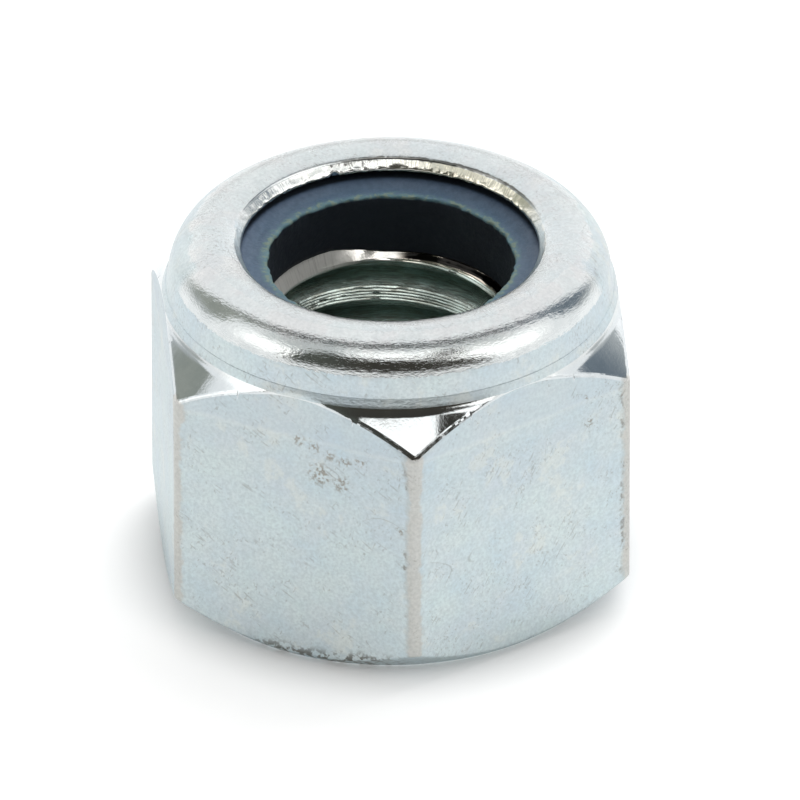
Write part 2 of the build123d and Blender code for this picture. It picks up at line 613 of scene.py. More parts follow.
seat_rim, folded_in = extrude_ring(thread, rim_edges(thread, SEAT))
for vert in folded_in:
    r = math.hypot(vert.co.x, vert.co.y)
    share = fold(facing(vert.co.x, vert.co.y))
    wanted = r - share * max(0.0, r - CREST - 0.005)
    vert.co = Vector((vert.co.x * wanted / r, vert.co.y * wanted / r, SEAT - 0.04 - 0.07 * share))
before = 0.0
for distance in (0.015, 0.035, 0.06, 0.10, 0.135, 0.17, 0.22, 0.28):
    seat_rim, raised = extrude_ring(thread, seat_rim)
    for vert in raised:
        r = math.hypot(vert.co.x, vert.co.y)
        angle = facing(vert.co.x, vert.co.y)
        torn = 0.5 * swell((vert.co.x, vert.co.y, 4 * distance), 0.10, 31.0)
        fine_tears = swell((vert.co.x, vert.co.y, 0.3 * distance), 0.035, 33.0)
        torn += hump(angle, 140, 60) * fine_tears
        set_radius(vert, min(BEAD_LIMIT, r + (distance - before)))
        vert.co.z = SEAT + burr_height(distance, angle) + 0.010 * torn
    before = distance
seat_rim, raised = extrude_ring(thread, seat_rim)
for vert in raised:
    r = math.hypot(vert.co.x, vert.co.y)
    vert.co = Vector((vert.co.x * BEAD_END / r, vert.co.y * BEAD_END / r, SEAT))
for face in thread.faces:
    middle = face.calc_center_median()
    if middle.z > SEAT - 0.09:
        face[thread_polish] = 0.85 - 0.30 * fold(facing(middle.x, middle.y))
print("the bead ends in", len(seat_rim), "edges")

# %% [markdown]
# ## One closed body
#
# The bore joins the outside along two rings: the washer face below and the seat above.  Their
# vertex counts differ, so the rings are bridged by triangles.  The result is one watertight skin.

# %% Join the thread to the outside
thread_mesh = bpy.data.meshes.new("bore_wall")
thread.to_mesh(thread_mesh)
thread.free()
body.from_mesh(thread_mesh)
bpy.data.meshes.remove(thread_mesh)
polish = body.faces.layers.float["polish"]
open_edges = [edge for edge in body.edges if edge.is_boundary]
lower = [edge for edge in open_edges if edge.verts[0].co.z < 0.01]
upper = [edge for edge in open_edges if edge.verts[0].co.z > SEAT - 0.1]
print("open edges:", len(open_edges), "lower", len(lower), "upper", len(upper))
for ring in (lower, upper):
    for face in bmesh.ops.bridge_loops(body, edges=ring)["faces"]:
        face[polish] = POCKET_POLISH
print("open edges left:", sum(edge.is_boundary for edge in body.edges))

# %% [markdown]
# ## Shader helpers
#
# A material is a tree of nodes.  `node` adds one node and feeds its inputs.  The output of a node
# is kept as a `Value`, so that a sum reads like a sum: each sign adds the small node that does it.
# The other helpers add the ramps, mixes and noises that come up again and again.


# %% Helpers for node trees
class Value:
    """An output of a node, which can be added, multiplied and so on."""

    def __init__(self, socket):
        self.socket = socket

    def __abs__(self):
        return calc("ABSOLUTE", self)

    def __add__(self, other):
        return calc("ADD", self, other)

    def __radd__(self, other):
        return calc("ADD", other, self)

    def __sub__(self, other):
        return calc("SUBTRACT", self, other)

    def __rsub__(self, other):
        return calc("SUBTRACT", other, self)

    def __mul__(self, other):
        return calc("MULTIPLY", self, other)

    def __rmul__(self, other):
        return calc("MULTIPLY", other, self)

    def __truediv__(self, other):
        return calc("DIVIDE", self, other)

    def __rtruediv__(self, other):
        return calc("DIVIDE", other, self)


def tree_of(*values):
    """The tree that holds the first output among some values."""
    return next(value.socket.id_data for value in values if isinstance(value, Value))


def feed(made, inputs):
    """Feeds inputs, by name or number, with outputs, numbers or colours of three numbers."""
    for name, value in dict(inputs).items():
        socket = made.inputs[name]
        if isinstance(value, Value):
            socket.id_data.links.new(value.socket, socket)
        elif socket.type == "RGBA":
            socket.default_value = (*value, 1.0)
        else:
            socket.default_value = value


def node(tree, kind, inputs=(), **settings):
    """Adds a shader node."""
    made = tree.nodes.new("ShaderNode" + kind)
    for name, value in settings.items():
        setattr(made, name, value)
    feed(made, inputs)
    return made


def out(made, name=0):
    """One output of a node."""
    return Value(made.outputs[name])


def outs(made):
    """All outputs of a node by name."""
    return {socket.name: Value(socket) for socket in made.outputs}


def calc(operation, first, second=0.0):
    """One step of arithmetic."""
    tree = tree_of(first, second)
    return out(node(tree, "Math", {0: first, 1: second}, operation=operation))


def larger(first, second):
    """The larger of two values."""
    return calc("MAXIMUM", first, second)


def clamped(total):
    """Holds a sum between 0 and 1."""
    total.socket.node.use_clamp = True
    return total


def ramp(value, low, high):
    """0 below low, 1 above high, smooth between.  With low above high it falls."""
    inputs = {"Value": value, "From Min": low, "From Max": high}
    made = node(tree_of(value), "MapRange", inputs, interpolation_type="SMOOTHSTEP")
    return out(made, "Result")


def mix(share, first, second):
    """Mixes two colours by a share."""
    tree = tree_of(share, first, second)
    return out(node(tree, "Mix", {0: share, 6: first, 7: second}, data_type="RGBA"), 2)


def vector(tree, operation, inputs, output="Vector"):
    """One step of vector arithmetic."""
    return out(node(tree, "VectorMath", inputs, operation=operation), output)


def noise_at(tree, place, scale, detail=2.0, roughness=0.5, depth=None, output="Fac"):
    """Noise at a place; with a depth it runs through a fourth dimension."""
    inputs = {"Vector": place, "Scale": scale, "Detail": detail, "Roughness": roughness}
    if depth is None:
        return out(node(tree, "TexNoise", inputs), output)
    return out(node(tree, "TexNoise", {**inputs, "W": depth}, noise_dimensions="4D"), output)


VECTORS = ("Position", "Tilt")


def new_group(name, inputs, outputs=("Mask",)):
    """A node group, with its inputs as values by name and the node that takes its results."""
    group = bpy.data.node_groups.new(name, "ShaderNodeTree")
    for way, labels in (("INPUT", inputs), ("OUTPUT", outputs)):
        for label in labels:
            kind = "NodeSocketVector" if label in VECTORS else "NodeSocketFloat"
            group.interface.new_socket(label, in_out=way, socket_type=kind)
    return group, outs(group.nodes.new("NodeGroupInput")), group.nodes.new("NodeGroupOutput")


def effect(tree, group, **inputs):
    """The mask of a group that is placed in a tree."""
    return out(node(tree, "Group", inputs, node_tree=group))


def new_material(name):
    """A material, with its tree and its Principled shader."""
    material = bpy.data.materials.new(name)
    material.use_nodes = True
    tree = material.node_tree
    return material, tree, tree.nodes["Principled BSDF"]


# %% [markdown]
# ## Where on the nut
#
# Wear, grime and polish follow the nut's own shape: the distance from the axis, the height above
# the washer face and the direction round the axis.  This group works them out in millimetres and
# degrees from Object coordinates, so the marks stay on the metal in every view.

# %% Group: place on the nut
PLACE = ("Position", "Radius", "Height", "Turn")
place_group, _, results = new_group("place_on_nut", (), PLACE)
here = out(node(place_group, "TexCoord"), "Object")
in_mm = vector(place_group, "SCALE", {0: here, "Scale": 1000.0})
axes = outs(node(place_group, "SeparateXYZ", {0: in_mm}))
level = vector(place_group, "MULTIPLY", {0: in_mm, 1: (1, 1, 0)})
radius = vector(place_group, "LENGTH", {0: level}, "Value")
turn = calc("ARCTAN2", axes["Y"], axes["X"]) * (180 / math.pi)
feed(results, zip(PLACE, (in_mm, radius, axes["Z"], turn)))


def place_on_nut(tree):
    """Position, radius, height and turn of each point of the surface."""
    found = outs(node(tree, "Group", node_tree=place_group))
    return [found[label] for label in PLACE]


print("place_on_nut gives", [item.name for item in place_group.interface.items_tree])

# %% [markdown]
# ## Clouds, pits and scratches
#
# These three effects cover most of what handling and plating do to metal, and the nylon uses the
# first two as well.  Clouds are slow changes of tint.  Pits are sparse dark specks.  Scratches are
# the contour lines of a slow noise, cut into short lengths by a second noise, so no two are alike.

# %% Group: clouds
clouds, given, results = new_group("clouds", ("Position", "Size", "Seed"))
field = noise_at(clouds, given["Position"], 1.0 / given["Size"], 5.0, 0.6, given["Seed"])
feed(results, {"Mask": ramp(field, 0.32, 0.68)})
print("clouds has", len(clouds.nodes), "nodes")

# %% Group: pits
pits, given, results = new_group("pits", ("Position", "Spacing", "Size", "Share", "Seed"))
warp = noise_at(pits, given["Position"], 9.0, output="Color")
bent = vector(pits, "MULTIPLY_ADD", {0: warp, 1: (0.16, 0.16, 0.16), 2: given["Position"]})
cells = node(
    pits, "TexVoronoi",
    {"Vector": bent, "W": given["Seed"], "Scale": 1.0 / given["Spacing"]},
    voronoi_dimensions="4D",
)
lucky = out(node(pits, "SeparateColor", {0: out(cells, "Color")}))
chosen = calc("LESS_THAN", lucky, given["Share"])
dot = ramp(out(cells, "Distance") / (given["Size"] * (0.35 + lucky)), 1.0, 0.35)
feed(results, {"Mask": dot * chosen})
print("pits has", len(pits.nodes), "nodes")

# %% Group: scratches
scratches, given, results = new_group(
    "scratches", ("Position", "Size", "Width", "Share", "Seed"),
)
slow = noise_at(scratches, given["Position"], 1.0 / given["Size"], 1.0, depth=given["Seed"])
line = ramp(abs(slow - 0.5) / given["Width"], 1.0, 0.2)
broken = noise_at(
    scratches, given["Position"], 1.7 / given["Size"], 3.0, depth=given["Seed"] + 7.0,
)
lengths = ramp(broken, 0.72 - 0.3 * given["Share"], 0.80 - 0.3 * given["Share"])
feed(results, {"Mask": line * lengths})
print("scratches has", len(scratches.nodes), "nodes")

# %% [markdown]
# Knocks in a bin leave short dashes that lie one way in each patch.  Noise that is stretched along
# a tilted direction draws them.

# %% Group: short dashes
dashes, given, results = new_group("short_dashes", ("Position", "Tilt", "Share", "Seed"))
tilted = node(
    dashes, "Mapping",
    {"Vector": given["Position"], "Rotation": given["Tilt"], "Scale": (0.42, 0.05, 0.05)},
    vector_type="TEXTURE",
)
moved = vector(dashes, "ADD", {0: out(tilted), 1: given["Seed"]})
limit = 0.80 - given["Share"] * 0.2
feed(results, {"Mask": ramp(noise_at(dashes, moved, 1.0, 1.0), limit, limit + 0.05)})
print("short_dashes has", len(dashes.nodes), "nodes")

# %% [markdown]
# The rolling tool and the drill drew their marks round the axis.  This group stretches noise that
# way: it feeds the cosine and sine of the turn to a four-dimensional noise, so there is no seam.

# %% Group: tool marks round the axis
drawn, given, results = new_group("drawn_round", ("Position", "Around", "Across", "Seed"))
spot = outs(node(drawn, "SeparateXYZ", {0: given["Position"]}))
flat_spot = out(node(drawn, "CombineXYZ", {0: spot["X"], 1: spot["Y"]}))
length = vector(drawn, "LENGTH", {0: flat_spot}, "Value")
heading = vector(drawn, "NORMALIZE", {0: flat_spot})
wound = vector(drawn, "SCALE", {0: heading, "Scale": given["Around"]})
lifted = out(node(drawn, "CombineXYZ", {2: spot["Z"] * given["Across"] + given["Seed"]}))
spread_out = vector(drawn, "ADD", {0: wound, 1: lifted})
streaks = noise_at(drawn, spread_out, 1.0, 3.0, 0.6, length * given["Across"])
feed(results, {"Mask": streaks})
print("drawn_round has", len(drawn.nodes), "nodes")

# %% [markdown]
# ## Zinc plate
#
# Bright zinc is a metal with a faint blue passivation film.  On the tumbled flats it scatters
# light, so its roughness is high there, and it falls where a tool has burnished the steel.  The
# polish layer of the mesh drives that.  On top come tint clouds, pits, dashes and scratches, the
# worn strips on the upright corners, smudges where the nut was handled, and a darker band along
# one lower edge.  Smudges are listed by their place and size in millimetres.


# %% Material: zinc plate
SATIN, MIRROR = 0.44, 0.07
SMUDGES = [
    ((-2.38, -4.34, 5.59), 0.20), ((-2.08, -4.52, 5.49), 0.20), ((-1.76, -4.70, 5.38), 0.18),
    ((-1.45, -4.88, 5.28), 0.22), ((-1.14, -5.06, 5.39), 0.16), ((-1.97, -4.58, 4.85), 0.40),
    ((-1.50, -4.85, 4.70), 0.30), ((-0.31, -5.53, 3.90), 0.15), ((3.92, -3.45, 5.74), 0.10),
    ((3.99, -3.41, 5.08), 0.16), ((2.42, -4.32, 6.05), 0.12),
]


def zinc_plated_steel():
    """Satin on the flats, bright on the roll, nearly a mirror on the shoulder and the lip."""
    material, tree, shader = new_material("zinc_plated_steel")
    where, radius, level, turn = place_on_nut(tree)
    gloss = out(node(tree, "Attribute", attribute_name="polish"), "Fac")

    def cloud(size, seed):
        return effect(tree, clouds, Position=where, Size=size, Seed=seed)

    def tool_marks(around, across, seed):
        return effect(tree, drawn, Position=where, Around=around, Across=across, Seed=seed)

    wide, mid, fine = cloud(1.5, 1.0), cloud(0.42, 2.0), cloud(0.07, 3.0)
    blush, rust, crumbs = cloud(0.9, 4.0), cloud(0.7, 6.0), cloud(0.16, 12.0)
    streaky = tool_marks(38.0, 22.0, 0.0)

    # the rolling tool has burnished the front of the roll, between two uneven limits
    bend = calc("ARCTAN2", level - ROLL_Z, radius - ROLL_R)
    bend += (streaky - 0.5) * 0.22
    rolled = ramp(bend, 0.18, 0.34) * ramp(bend, 1.62, 1.28)
    rolled *= ramp(level, ROLL_Z, ROLL_Z + 0.05)
    ahead = abs(turn + 95.5)
    ahead = calc("PINGPONG", ahead, 180.0)
    rolled *= ramp(ahead, 92.0, 58.0)
    gloss = larger(gloss, rolled * 0.92)
    crown = level + (mid - 0.5) * 0.1
    crown = ramp(crown, HEIGHT - 0.34, HEIGHT - 0.1)
    gloss = larger(gloss, crown * 0.53)
    burnished = ramp(gloss, 0.4, 0.9)
    dull = 1.0 - burnished

    # the passivated film: blue and green-grey clouds with a warm blush
    color = mix(wide, (0.515, 0.625, 0.69), (0.605, 0.7, 0.695))
    color = mix(blush * 0.45, color, (0.62, 0.63, 0.655))
    color = mix(mid * 0.35, color, (0.69, 0.75, 0.75))
    color = mix(fine * 0.6, color, (0.44, 0.505, 0.525))
    cream = ramp(blush, 0.6, 0.85) * ramp(mid, 0.45, 0.75)
    color = mix(cream * 0.32, color, (0.7, 0.72, 0.66))
    bright = mix(mid, (0.672, 0.698, 0.698), (0.765, 0.785, 0.78))
    blushed = ramp(blush, 0.4, 0.8) * (crown * 0.4)
    bright = mix(blushed, bright, (0.71, 0.675, 0.675))
    bright = mix(fine * (crown * 0.2), bright, (0.45, 0.46, 0.47))
    color = mix(ramp(gloss, 0.4, 0.6) * 0.9, color, bright)

    # the die opened above the corner tips: painted highlight across each flat, bluer film above it
    tip_line = level + (mid - 0.5) * 0.06
    tip_line -= CORNER_TIP - 0.02
    upper = ramp(tip_line, 0.0, 0.05) * ramp(level, 6.62, 6.5)
    color = mix(upper * 0.24, color, (0.5, 0.57, 0.64))
    # a pale painted highlight along the line where the flats lean in above the tips
    tip_line_highlight = ramp(abs(tip_line), 0.1, 0.01)
    color = mix(dull * (tip_line_highlight * 0.2), color, (0.72, 0.75, 0.74))
    # the flats are painted darker towards the top
    color = mix(ramp(level, 2.5, 6.2) * 0.12, color, (0.36, 0.42, 0.45))

    # the upright corners have rubbed on other nuts
    wander = radius + (mid - 0.5) * 0.035
    wander += (crumbs - 0.5) * 0.03
    ends = ramp(level, 5.0, 5.5) + ramp(level, 0.6, 0.1)
    wander += ends * 0.03
    sixth = calc("FLOORED_MODULO", turn, 60.0) - 30.0
    left_side = ramp(sixth, 1.0, -1.0)
    worn = clamped(ramp(wander, 5.595, 5.665) + left_side * 0.3)
    worn *= ramp(wander, 5.608, 5.655)
    border = ramp(wander, 5.585, 5.62) * ramp(wander, 5.655, 5.62)
    border *= 0.15 + left_side * 0.85
    worn_tint = mix(fine, (0.56, 0.545, 0.51), (0.48, 0.47, 0.44))
    color = mix(worn * 0.78, color, worn_tint)
    color = mix(border * 0.22, color, (0.34, 0.31, 0.26))

    def speck(spacing, size, amount, seed):
        sizes = {"Spacing": spacing, "Size": size, "Share": amount}
        return effect(tree, pits, Position=where, Seed=seed, **sizes)

    def dash(tilt, amount, seed):
        return effect(tree, dashes, Position=where, Tilt=tilt, Share=amount, Seed=seed)

    def scratch(size, width, amount, seed):
        sizes = {"Size": size, "Width": width, "Share": amount}
        return effect(tree, scratches, Position=where, Seed=seed, **sizes)

    dotted = speck(0.1, 0.2, 0.5, 1.0) * ramp(crumbs, 0.55, 0.8)
    lines = larger(dash((0.0, 0.55, -0.52), 0.85, 3.0), dash((0.0, -1.0, 0.35), 0.8, 8.0))
    lines *= ramp(rust, 0.45, 0.75)
    handled = 0.0
    for spot, size in SMUDGES:
        away = vector(tree, "DISTANCE", {0: where, 1: spot}, "Value")
        handled = larger(handled, ramp(away, size, size * 0.3))
    smudge = handled * ramp(cloud(0.075, 31.0), 0.48, 0.78)
    edge_dirt = border * ramp(crumbs, 0.45, 0.85)
    edge_dirt *= ramp(rust, 0.3, 0.7)
    dirt = dotted * 0.85 + lines * 0.45
    dirt += smudge * 0.35
    dirt += speck(0.05, 0.3, 0.25, 5.0) * 0.4
    dirt = clamped(dirt + edge_dirt * 0.85)

    color = mix(smudge * 0.62, color, (0.285, 0.245, 0.19))

    marks = larger(scratch(4.0, 0.0022, 0.55, 2.0), scratch(2.4, 0.003, 0.45, 9.0))
    marks *= 0.2 + dull * 0.8

    above_rim = level - (radius - BEARING) * 0.839
    # a teal painted reflection along the base chamfer
    base_teal_reflection = ramp(above_rim, 0.03, -0.05)
    color = mix(base_teal_reflection * 0.6, color, (0.3, 0.47, 0.5))
    # darker in ragged patches along the lower edge of one flat
    side = ramp(abs(turn - -113.0), 24.0, 10.0)
    reach = 0.03 + side * 0.3
    low_edge_reach = ramp(above_rim / reach, 1.0, 0.1)
    low_edge_dark = low_edge_reach * ramp(crumbs, 0.4, 0.75)
    low_edge_dark *= ramp(above_rim, -0.16, -0.04)
    low_edge_dark *= 0.15 + side * 0.85

    lip = ramp(radius, CREASE[0], CREASE[0] - 0.03) * burnished
    lip *= ramp(level, 7.5, 7.6)
    nicks = tool_marks(110.0, 3.0, 7.0)
    nicks = ramp(nicks, 0.45, 0.75)
    warm = ramp(turn, 92.0, 60.0)
    gold = mix(warm, (0.92, 0.94, 0.92), (0.93, 0.89, 0.74))
    color = mix(lip * 0.95, color, gold)
    nicked = lip * (nicks * (0.22 + warm * 0.3))
    color = mix(nicked, color, (0.36, 0.31, 0.2))

    # painted shade in the crease above the lip, at the back, in broken lengths
    crease_shade = abs(radius - (CREASE[0] + 0.022))
    crease_shade += (crumbs - 0.5) * 0.035
    crease_shade = ramp(crease_shade, 0.034, 0.012) * ramp(level, 7.8, 7.84)
    behind = ramp(abs(turn - 62.0), 50.0, 25.0)
    color = mix(crease_shade * (behind * 0.8), color, (0.13, 0.125, 0.11))

    # the burr at the seat is raw and bright; on one side a near-black painted reflection parts it
    # from a second line, a brownish painted highlight
    on_burr = ramp(level, 5.72, 5.78) * ramp(radius, 3.1, 3.0)
    on_burr *= ramp(level, 6.4, 6.3)
    fibres = tool_marks(75.0, 1.5, 9.0)
    color = mix(on_burr * 0.9, color, (0.98, 0.965, 0.92))
    fibrous = on_burr * ramp(turn, 95.0, 112.0)
    fibrous *= ramp(fibres, 0.48, 0.72)
    color = mix(fibrous * 0.4, color, (0.36, 0.35, 0.32))
    frayed = on_burr * ramp(turn, 92.0, 116.0)
    metal = 1.0 - frayed * 0.8
    # on the right of the burr: a brownish painted highlight and a near-black painted reflection
    # band
    right_burr_painted = on_burr * ramp(turn, 84.0, 76.0)
    groove = radius + (fibres - 0.5) * 0.03
    groove = ramp(groove, 2.592, 2.606) * ramp(groove, 2.694, 2.684)
    color = mix(right_burr_painted * 0.6, color, (0.62, 0.52, 0.38))
    color = mix(right_burr_painted * groove, color, (0.018, 0.017, 0.016))

    # inside the bore the plating is thin and green-grey, and hardly any light gets into the grooves
    bore = ramp(radius, 3.08, 3.02) * ramp(level, 5.8, 5.74)
    turned = tool_marks(5.0, 42.0, 3.0)
    turned = ramp(turned, 0.4, 0.62)
    depth = ramp(radius, CREST + 0.03, CREST + 0.16)
    color = mix(bore * 0.85, color, (0.74, 0.87, 0.81))
    color = mix(bore * (depth * 0.62), color, (0.35, 0.5, 0.47))
    color = mix(bore * (turned * 0.55), color, (0.26, 0.225, 0.165))
    dirt *= 0.03 + dull * 0.97
    dirt *= 1.0 - larger(bore, on_burr)
    dark = clamped(dirt * 0.62 + marks * 0.24)
    color = mix(dark, color, (0.2, 0.175, 0.145))
    color = mix(low_edge_dark * 0.85, color, (0.12, 0.11, 0.09))

    span = {"Value": gloss, "To Min": SATIN, "To Max": MIRROR}
    rough = out(node(tree, "MapRange", span), "Result")
    rough += (mid - 0.5) * 0.07
    rough += dark * 0.2

    grain = noise_at(tree, where, 20.0, 4.0, 0.65)
    height = grain * 0.01 + fine * 0.004
    height += mid * 0.006
    height *= 0.16 + dull * 0.84
    height -= dirt * 0.004
    height -= marks * 0.006

    # the rolled edge carries fine waves round the axis, and the lip is nicked across
    height += streaky * (rolled * 0.014)
    height -= nicks * (lip * 0.006)
    relief = node(tree, "Bump", {"Height": height, "Strength": 0.5, "Distance": 0.001})

    feed(shader, {
        "Base Color": color, "Roughness": rough, "Normal": out(relief), "Metallic": metal,
    })
    return material


body.normal_update()
crisp = body.edges.layers.int["crisp"]
BODY_SHARP, NYLON_SHARP = 35, 40
for edge in body.edges:
    edge.smooth = edge[crisp] == 0 and edge.calc_face_angle(0) < math.radians(BODY_SHARP)
body_piece = finish_piece(
    body, "nut_body_dressed", "nut_body", zinc_plated_steel(),
)

# %% [markdown]
# Flat faces stay flat and curves stay smooth when the normals are weighted by face area.


# %% Smooth the body's shading
def smooth_shading(piece, sharp_angle=None):
    """Shades smooth, keeps true edges sharp and weights the normals by area."""
    for face in piece.data.polygons:
        face.use_smooth = True
    if sharp_angle:
        piece.data.set_sharp_from_angle(angle=math.radians(sharp_angle))
    weighting = piece.modifiers.new("weighted_normals", "WEIGHTED_NORMAL")
    weighting.keep_sharp = True


smooth_shading(body_piece)

# %% [markdown]
# ## The nylon ring
#
# The ring is a moulding with a plain bore.  Its inner edge was trimmed, and the cut left a pale,
# ragged flash.  The section is spun like the body's, and the edge of the bore is then pushed in and
# out by noise.

# %% The ring's section, spun and trimmed
nylon = bmesh.new()
nylon_section = (
    [(POCKET - 0.03, SEAT + 0.01), (BORE + 0.24, SEAT + 0.01)]
    + [(BORE + 0.14, SEAT + 0.09), (BORE + 0.01, SEAT + 0.125)]
    + between((BORE, SEAT + 0.135), (BORE, NYLON_TOP - 0.06), 10)
    + [(BORE + 0.004, NYLON_TOP - 0.03), (BORE + 0.02, NYLON_TOP - 0.008), (BORE + 0.05, NYLON_TOP)]
    + between((BORE + 0.05, NYLON_TOP), (BORE + 0.30, NYLON_TOP), 5)
    + between((BORE + 0.30, NYLON_TOP), (BORE + 0.54, NYLON_TOP + 0.10), 5)
    + between((BORE + 0.54, NYLON_TOP + 0.10), (ROLL_R - 0.30, NYLON_TOP + 0.10), 4)
    + between((ROLL_R - 0.30, NYLON_TOP + 0.10), (ROLL_R, NYLON_TOP), 3)
    + arc((ROLL_R, ROLL_Z), ROLL_IN - 0.03, 90, 0, 6)[1:]
)
spin_outline(nylon, nylon_section + [nylon_section[0]], ROUND_STEPS)
bmesh.ops.remove_doubles(nylon, verts=nylon.verts[:], dist=0.001)


def trim_bore(bm):
    """Ragged flash round the top of the bore, and a slightly uneven top face."""
    for vert in bm.verts:
        x, y, z = vert.co
        r = math.hypot(x, y)
        if r > BORE + 0.32:
            continue
        edge = hump(z, NYLON_TOP, 0.35) * hump(r, BORE, 0.32)
        torn = 0.050 * swell((x, y, 0), 0.45, 41.0) + 0.030 * swell((x, y, 0), 0.13, 44.0)
        bulge = -0.07 * hump(facing(x, y), 178, 22)
        push = edge * (torn + bulge) + 0.01 * swell(vert.co, 0.8, 47.0)
        vert.co.x += push * x / r
        vert.co.y += push * y / r
        if z < SEAT + 0.3:
            vert.co.z += 0.22 * min(1.0, 1.6 * hump(facing(x, y), 145, 66)) * hump(r, BORE, 0.25)
        if z > NYLON_TOP - 0.05:
            vert.co.z -= edge * 0.03 * (0.5 + swell((x, y, 1), 0.20, 49.0))


trim_bore(nylon)
bmesh.ops.recalc_face_normals(nylon, faces=nylon.faces[:])

# %% [markdown]
# Nylon is a plastic: dark blue all through, with a soft gloss.  Its top face is painted a lighter
# grey-blue as painted light, brighter still towards its outer edge.  The flash round the bore is
# paler and greener, and painted shade keeps the gap under the lip dark.


# %% Material: nylon
def blue_nylon():
    """Dark blue moulding with a pale trimmed edge."""
    material, tree, shader = new_material("nylon")
    where, radius, level, _ = place_on_nut(tree)
    slow = effect(tree, clouds, Position=where, Size=0.9, Seed=21.0)
    fine = effect(tree, clouds, Position=where, Size=0.12, Seed=22.0)
    specks = effect(tree, pits, Position=where, Spacing=0.22, Size=0.2, Share=0.18, Seed=23.0)
    color = mix(slow, (0.0045, 0.009, 0.018), (0.007, 0.013, 0.023))
    on_top = ramp(level, NYLON_TOP - 0.1, NYLON_TOP - 0.02)
    # the top face is painted lighter than the sides: painted light
    top_light_and_shade = mix(slow, (0.074, 0.138, 0.22), (0.095, 0.152, 0.228))
    # brighter towards the outer edge: painted light
    outer_painted_light = ramp(radius, BORE + 0.25, BORE + 0.75)
    top_light_and_shade = mix(outer_painted_light, top_light_and_shade, (0.115, 0.165, 0.26))
    top_light_and_shade = mix(fine * 0.35, top_light_and_shade, (0.05, 0.08, 0.125))
    # darker under the lip: painted shade
    under_lip_painted_shade = ramp(radius, LIP - 0.03, LIP + 0.1)
    top_light_and_shade = mix(under_lip_painted_shade * 0.92, top_light_and_shade, (0.006, 0.008, 0.012))
    color = mix(on_top, color, top_light_and_shade)
    ragged = radius + fine * -0.14
    scuffed = on_top * ramp(ragged, BORE + 0.13, BORE - 0.05)
    color = mix(scuffed * 0.8, color, (0.11, 0.235, 0.26))
    flecks = on_top * ramp(ragged, BORE + 0.05, BORE - 0.04)
    flecks *= ramp(fine, 0.4, 0.8)
    color = mix(flecks * 0.6, color, (0.26, 0.3, 0.2))
    color = mix(specks * 0.4, color, (0.01, 0.015, 0.025))
    grain = noise_at(tree, where, 16.0, 4.0)
    height = grain * 0.03 + fine * 0.02
    relief = node(tree, "Bump", {"Height": height, "Strength": 0.35, "Distance": 0.001})
    rough = 0.46 + fine * 0.12
    feed(shader, {"Base Color": color, "Roughness": rough, "Normal": out(relief), "IOR": 1.53})
    return material


nylon_piece = finish_piece(nylon, "nylon_insert_dressed", "nylon_insert", blue_nylon())
smooth_shading(nylon_piece, NYLON_SHARP)

# %% [markdown]
# ## The table
#
# The nut stands on a plain pale table.  It takes the nut's soft shadow, and its own light keeps the
# rest of it white.  That light fades out close round the nut, which paints a ring of shadow there.
# The table is see-through from below, and for rays that start on the washer face just above
# it, so the face is lit when it is seen from underneath.

# %% The table
TABLE_SIZE = 3.0
TABLE_GAP = 0.00002
TABLE_GLOW = 0.57
# the table's glow fades out between these distances from the axis: a painted shadow round the nut
PAINTED_SHADOW_INNER, PAINTED_SHADOW_OUTER = 0.0038, 0.0066
table = bmesh.new()
bmesh.ops.create_grid(table, x_segments=1, y_segments=1, size=TABLE_SIZE)
bmesh.ops.translate(table, vec=(0, 0, -TABLE_GAP), verts=table.verts[:])
table_mesh = bpy.data.meshes.new("table")
table.to_mesh(table_mesh)
table.free()
table_piece = bpy.data.objects.new("table", table_mesh)
bpy.context.scene.collection.objects.link(table_piece)


def white_table():
    """White card that is seen white where no shadow falls, with a painted shadow close round the
    nut.
    """
    material, tree, card = new_material("white_table")
    feed(card, {"Base Color": (0.80, 0.80, 0.80), "Roughness": 1.0, "Specular IOR Level": 0.0})
    ray = outs(node(tree, "LightPath"))
    seen = larger(ray["Is Camera Ray"], ray["Is Glossy Ray"])
    away = vector(tree, "LENGTH", {0: out(node(tree, "TexCoord"), "Object")}, "Value")
    # the glow fades out close round the nut: painted shadow, seen in the metal's reflections too
    strength = seen * ramp(away, PAINTED_SHADOW_INNER, PAINTED_SHADOW_OUTER) * TABLE_GLOW
    glow = node(tree, "Emission", {"Color": (1, 1, 1), "Strength": strength})
    lit = node(tree, "AddShader", {0: out(card), 1: out(glow)})
    clear = node(tree, "BsdfTransparent")
    touching = calc("LESS_THAN", ray["Ray Length"], 2 * TABLE_GAP) * (1.0 - ray["Is Camera Ray"])
    below = larger(out(node(tree, "NewGeometry"), "Backfacing"), touching)
    both = node(tree, "MixShader", {0: below, 1: out(lit), 2: out(clear)})
    feed(tree.nodes["Material Output"], {"Surface": out(both)})
    return material


table_mesh.materials.append(white_table())
print("the table lies", TABLE_GAP * 1000, "mm below the washer face")

# %% [markdown]
# ## The light
#
# The nut is lit as in a light tent: pale cloth all round, with an opening at the front for the
# camera and a narrow gap where the front and back panels meet overhead.  A patch beside the opening
# is dark too, the cloth round the gap is dimmer, and one panel low at the back is lit.  Metal
# mirrors all of it, and the dark shapes draw the lines along the roll.  The tent is a world whose
# brightness depends on the direction alone.  Noise frays the edge of the opening.

# %% The tent
CAMERA_TURN = -5.5
CAMERA_RISE = 31.6
OPENING_TOP = [
    (-60, 0), (-57, 12), (-52, 32), (-45, 45), (-38, 50), (-31, 48.5), (-24, 47), (-12, 47.5),
    (0, 47.5), (18, 45), (33, 35), (48, 22), (56, 8), (60, 0),
]
PATCH_TURN, PATCH_RISE = math.radians(37), math.radians(49)


